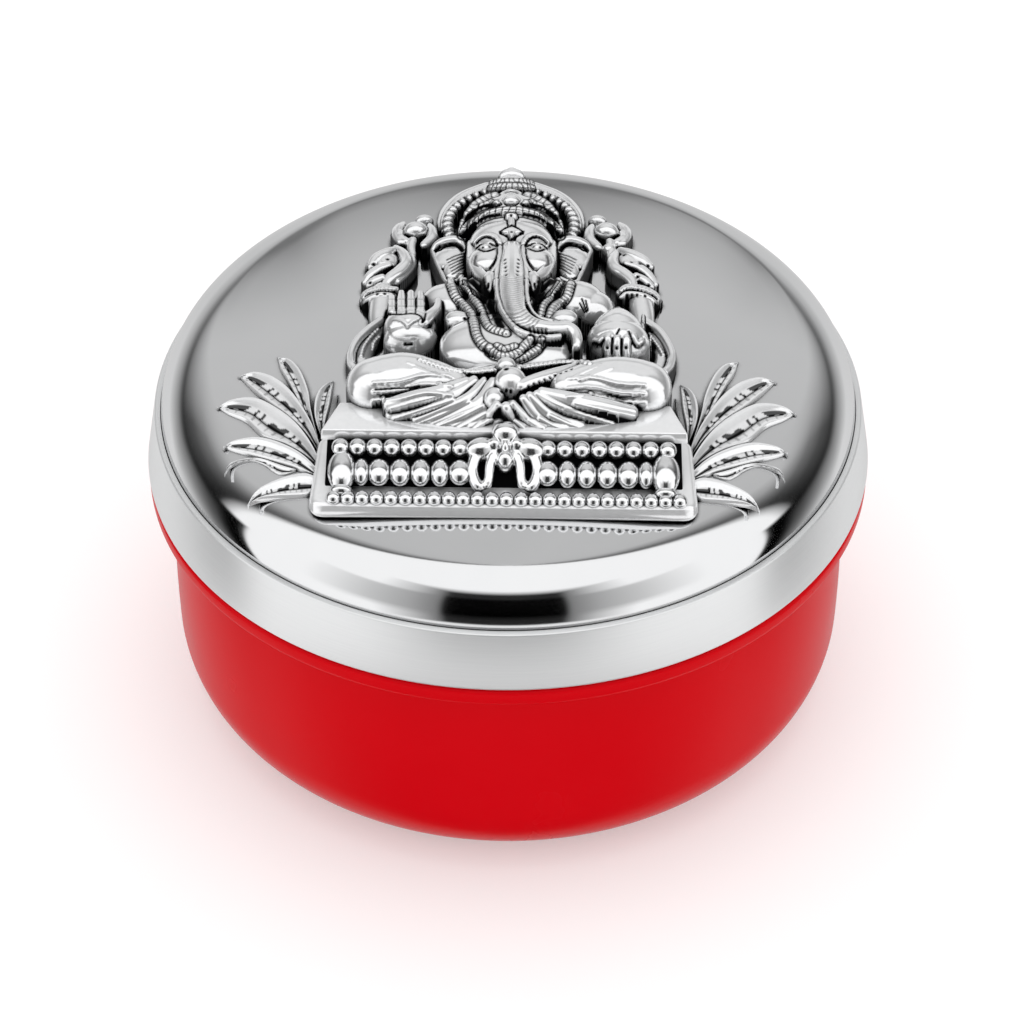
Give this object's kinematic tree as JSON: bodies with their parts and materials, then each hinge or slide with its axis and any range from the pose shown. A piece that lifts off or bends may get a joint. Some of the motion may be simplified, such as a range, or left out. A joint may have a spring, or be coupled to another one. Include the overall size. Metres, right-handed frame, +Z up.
{
  "type": "kumkum box",
  "caption": "Round lidded box for kumkum powder: a red moulded bowl under a polished metal lid with a seated elephant-headed figure in relief on a beaded pedestal.",
  "frame": {"origin": "middle of the foot ring, on the surface that the box stands on", "axes": "+Z up along the lid's axis, -Y towards the figure's front, +X to the viewer's right"},
  "size_m": [0.07, 0.07, 0.0466],
  "materials": {
    "red_plastic": "semi-gloss moulded",
    "ring_plastic": "moulded",
    "satin_metal": "satin",
    "polished_metal": "mirror polished",
    "antique_silver": "polished high points, black recesses"
  },
  "bodies": {
    "bowl": {"bowl": "red_plastic"},
    "lid": {"lid_band": "satin_metal", "lid_dome": "polished_metal", "grip_ring": "ring_plastic", "pedestal": "antique_silver", "corner_posts": "antique_silver", "upper_beads": "antique_silver", "baluster_row": "antique_silver", "lower_beads": "antique_silver", "flower_knot": "antique_silver", "seated_figure": "antique_silver", "halo": "antique_silver", "leaf_spray_left": "antique_silver", "leaf_spray_right": "antique_silver"}
  },
  "joints": [
    {"name": "lid_lift", "type": "slide", "parent": "bowl", "child": "lid", "axis": [0, 0, 1], "range_m": [0, 0.045]}
  ]
}
